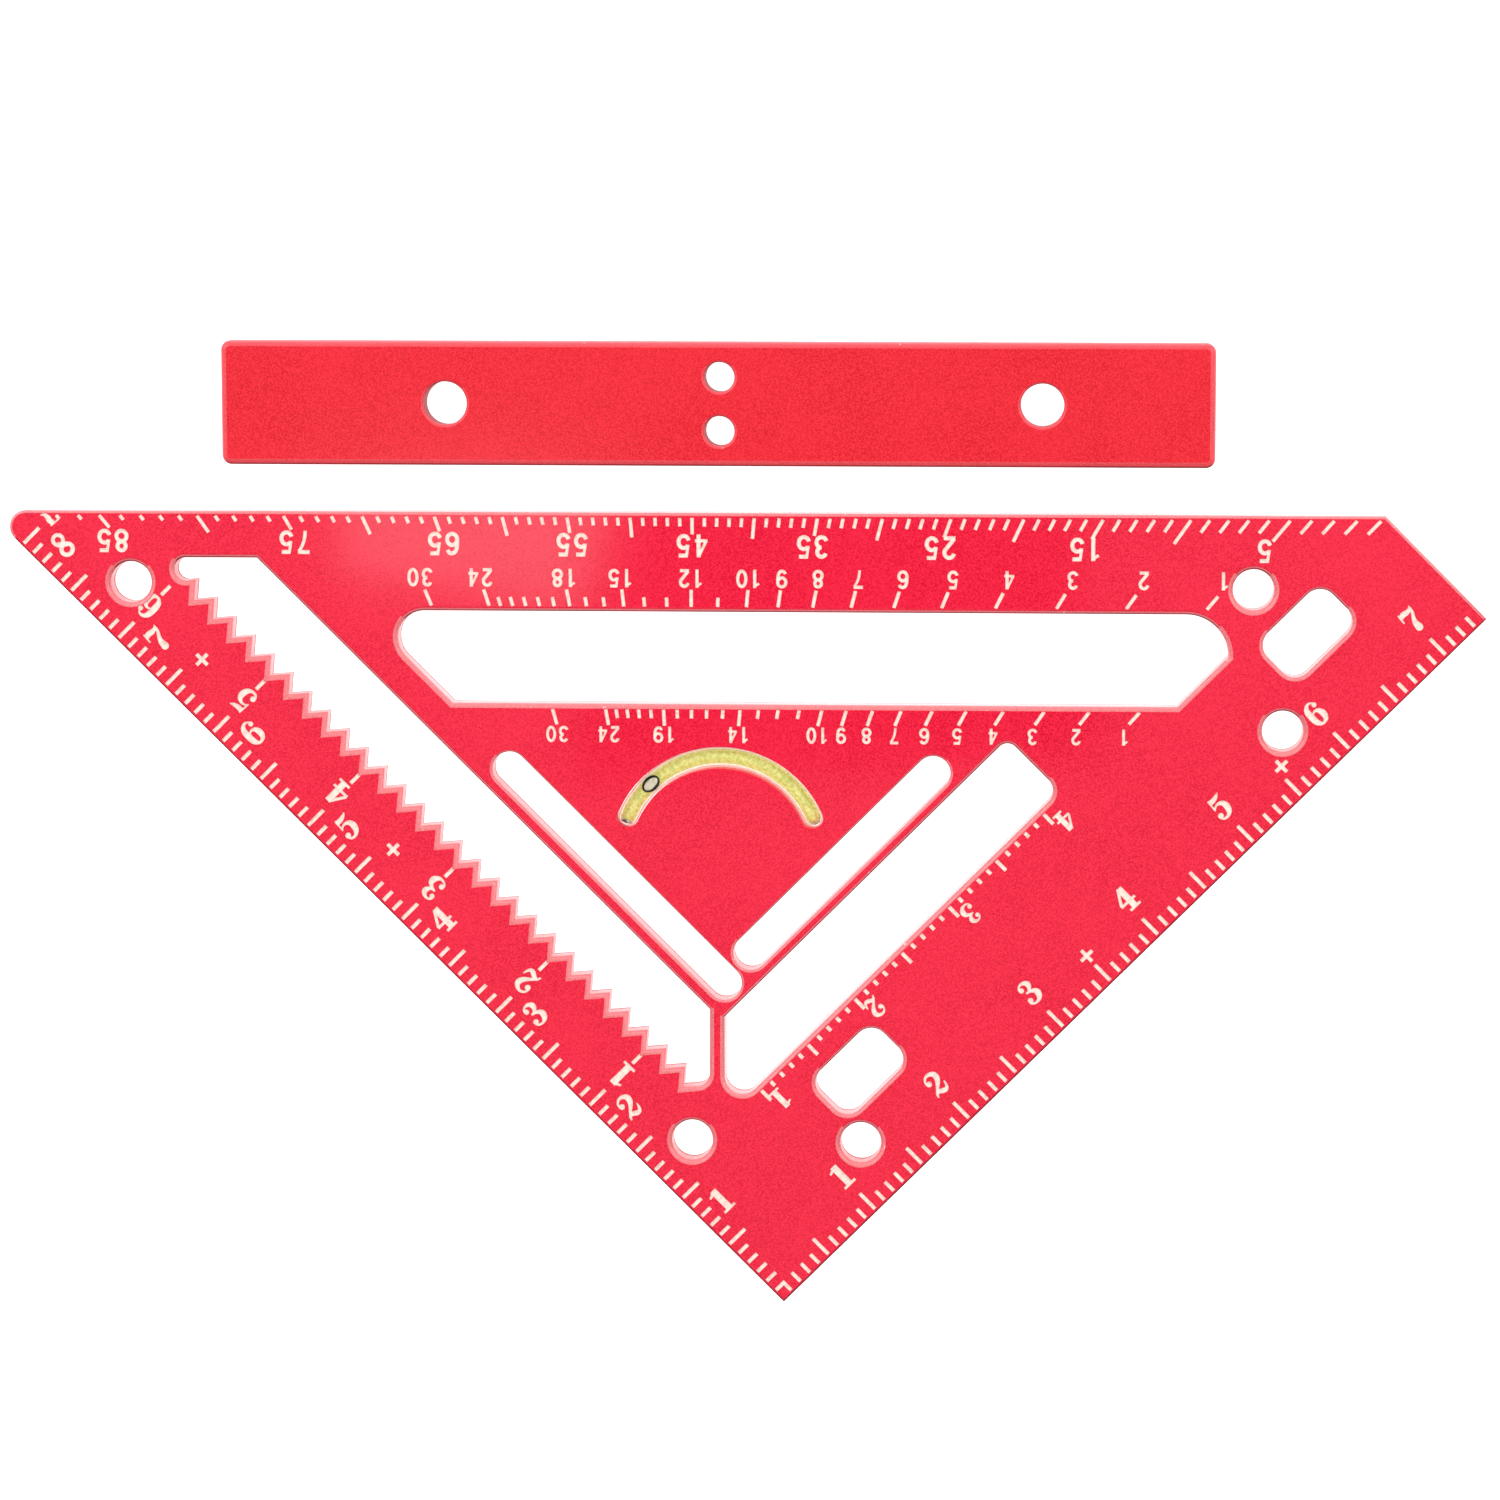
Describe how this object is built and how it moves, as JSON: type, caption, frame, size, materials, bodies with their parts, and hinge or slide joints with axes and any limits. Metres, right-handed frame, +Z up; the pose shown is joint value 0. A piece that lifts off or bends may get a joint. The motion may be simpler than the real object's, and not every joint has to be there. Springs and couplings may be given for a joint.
{
  "type": "speed square",
  "caption": "Flat right-angled triangular layout square with slotted scribing scales, an arc-shaped bubble vial and a loose bolt-on fence bar",
  "frame": {"origin": "bottom centre of the bounding box of the square with its fence bar beside it, on the surface that they lie on", "axes": "+X along the hypotenuse, towards the end where the right leg is cut off; +Y from the right-angled apex towards the hypotenuse and the fence bar; +Z up, out of the face that carries the scales"},
  "size_m": [0.2802, 0.1844, 0.0063],
  "materials": {
    "square_coat": "satin powder coat",
    "fence_coat": "satin powder coat",
    "vial_acrylic": "clear polished",
    "vial_liquid": "clear yellow-green",
    "vial_sealant": "matte grey",
    "vial_air": "clear"
  },
  "bodies": {
    "square": {"square_plate": "square_coat", "vial_tube": "vial_acrylic", "vial_liquid": "vial_liquid", "vial_end_plug": "vial_sealant"},
    "bubble": {"vial_bubble": "vial_air"},
    "fence": {"fence_bar": "fence_coat"}
  },
  "joints": [
    {"name": "bubble_travel", "type": "hinge", "parent": "square", "child": "bubble", "pos_m": [-0.00489, -0.006, 0.00317], "axis": [0, 0, 1], "range_deg": [-105, 9.5]},
    {"name": "fence_lift", "type": "slide", "parent": "square", "child": "fence", "axis": [0, 0, 1], "range_m": [0, 0.05]}
  ]
}
